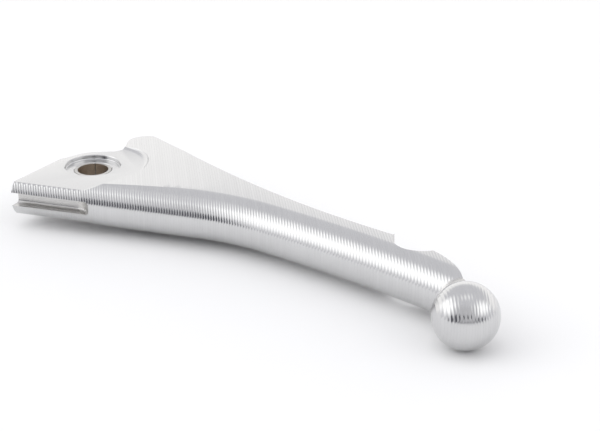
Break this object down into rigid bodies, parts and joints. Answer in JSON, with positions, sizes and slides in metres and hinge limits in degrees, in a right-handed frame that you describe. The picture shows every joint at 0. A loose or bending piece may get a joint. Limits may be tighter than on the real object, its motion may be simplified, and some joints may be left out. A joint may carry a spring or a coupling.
{
  "type": "brake lever blade",
  "caption": "Ball-end hydraulic brake lever blade milled from aluminium billet, with a half-round front edge, push lobe and bushed pivot bore.",
  "frame": {"origin": "on the pivot axis, half way up the thickness", "axes": "+Z along the pivot axis, +X from the pivot to the centre of the ball, +Y towards the flat finger side and the push lobe"},
  "size_m": [0.1736, 0.0578, 0.0196],
  "materials": {
    "billet_aluminium": "bright, ball-nose milled with fine scallops, clear",
    "bush_steel": "rolled strip, satin",
    "bush_lining": "dull bronze and polymer sliding layer"
  },
  "bodies": {
    "root": {"lever_blade": "billet_aluminium", "pivot_bush": "bush_steel", "bush_liner": "bush_lining"}
  },
  "joints": []
}
